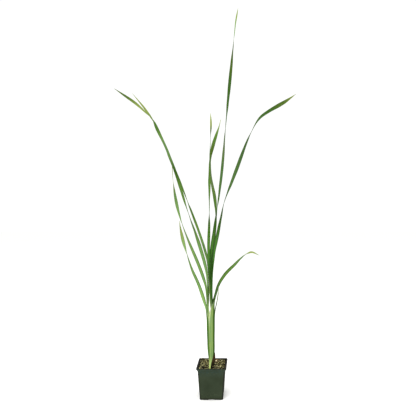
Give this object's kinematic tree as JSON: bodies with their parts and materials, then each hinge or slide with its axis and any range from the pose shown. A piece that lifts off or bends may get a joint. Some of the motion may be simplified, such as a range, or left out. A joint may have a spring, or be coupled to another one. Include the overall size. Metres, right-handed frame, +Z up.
{
  "type": "potted cattail",
  "caption": "Slim cattail shoot of long ribbon leaves in two ranks, arching to either side, in a small square nursery pot of bark.",
  "frame": {"origin": "middle of the flat underside of the pot", "axes": "+Z up along the shoot, -Y towards the front of the pot, +X to its right"},
  "size_m": [0.5568, 0.128, 1.2597],
  "materials": {
    "pot_plastic": "satin dark grey-green moulded plastic, scuffed",
    "bark_mix": "rough chopped bark and peat",
    "leaf_left_green": "satin yellow-green leaf",
    "leaf_right_green": "satin dark green leaf",
    "dry_sheath": "dull dry brown leaf base"
  },
  "bodies": {
    "root": {"pot": "pot_plastic", "potting_soil": "bark_mix", "leaf_left_low": "leaf_left_green", "leaf_left_middle": "leaf_left_green", "leaf_left_arching": "leaf_left_green", "leaf_left_rear": "leaf_left_green", "leaf_right_low": "leaf_right_green", "leaf_right_sliver": "leaf_right_green", "leaf_right_arching": "leaf_right_green", "leaf_right_inner": "leaf_right_green", "leaf_tall": "leaf_right_green", "leaf_centre": "leaf_right_green", "dry_sheath": "dry_sheath"}
  },
  "joints": []
}
